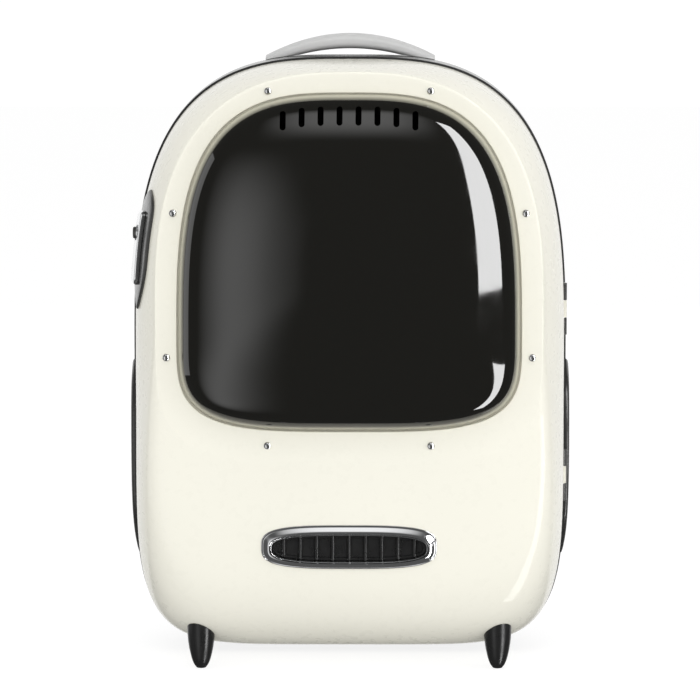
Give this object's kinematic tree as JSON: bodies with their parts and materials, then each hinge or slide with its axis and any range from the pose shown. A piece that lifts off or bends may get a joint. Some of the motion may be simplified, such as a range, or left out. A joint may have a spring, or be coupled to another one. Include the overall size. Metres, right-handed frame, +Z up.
{
  "type": "bubble pet carrier backpack",
  "caption": "Hard-shell pet carrier backpack: cream front door with a smoked bubble window, dark rear shell, top handle, feet and padded shoulder straps.",
  "frame": {"origin": "under the middle of the pack, on the floor plane of the four feet", "axes": "+Z up; -Y the front with the bubble window; +Y the back pad and straps; +X the hinge side, at the right seen from the front"},
  "size_m": [0.3118, 0.272, 0.4367],
  "materials": {
    "cream_shell": "glossy ivory ABS",
    "smoked_window": "polished dark smoke, nearly opaque",
    "chrome_trim": "bright plated plastic",
    "graphite_shell": "satin graphite grey",
    "graphite_trim": "satin dark grey",
    "black_plastic": "semi-gloss black",
    "seam_rubber": "matte black",
    "grey_handle": "satin light grey",
    "pad_fabric": "dark spacer mesh over foam",
    "webbing": "ribbed dark webbing"
  },
  "bodies": {
    "carrier": {"rear_shell": "graphite_shell", "seam_gasket": "seam_rubber", "handle": "grey_handle", "back_pad": "pad_fabric", "hinge_pin_lower": "chrome_trim", "hinge_pin_upper": "chrome_trim", "foot_rear_left": "black_plastic", "side_panel_left": "graphite_trim", "side_ring_left": "chrome_trim", "side_grille_left": "black_plastic", "shoulder_strap_left": "pad_fabric", "strap_buckle_left": "black_plastic", "strap_webbing_left": "webbing", "strap_anchor_left": "black_plastic", "foot_rear_right": "black_plastic", "side_panel_right": "graphite_trim", "side_ring_right": "chrome_trim", "side_grille_right": "black_plastic", "shoulder_strap_right": "pad_fabric", "strap_buckle_right": "black_plastic", "strap_webbing_right": "webbing", "strap_anchor_right": "black_plastic"},
    "door": {"front_shell": "cream_shell", "window_dome": "smoked_window", "rivet_1": "chrome_trim", "rivet_2": "chrome_trim", "rivet_3": "chrome_trim", "rivet_4": "chrome_trim", "rivet_5": "chrome_trim", "rivet_6": "chrome_trim", "rivet_7": "chrome_trim", "rivet_8": "chrome_trim", "vent_bezel": "chrome_trim", "vent_grille": "black_plastic", "latch_plate": "graphite_trim", "latch_bar": "chrome_trim", "latch_collar": "chrome_trim", "foot_front_left": "black_plastic", "foot_front_right": "black_plastic"},
    "latch_button": {"latch_button": "graphite_trim"}
  },
  "joints": [
    {"name": "door_hinge", "type": "hinge", "parent": "carrier", "child": "door", "pos_m": [0.1508, -0.02024, 0.186], "axis": [0, 0, 1], "range_deg": [0, 90]},
    {"name": "latch_press", "type": "slide", "parent": "door", "child": "latch_button", "axis": [1, 0, 0], "range_m": [0, 0.002], "stiffness_N_per_m": 300}
  ]
}
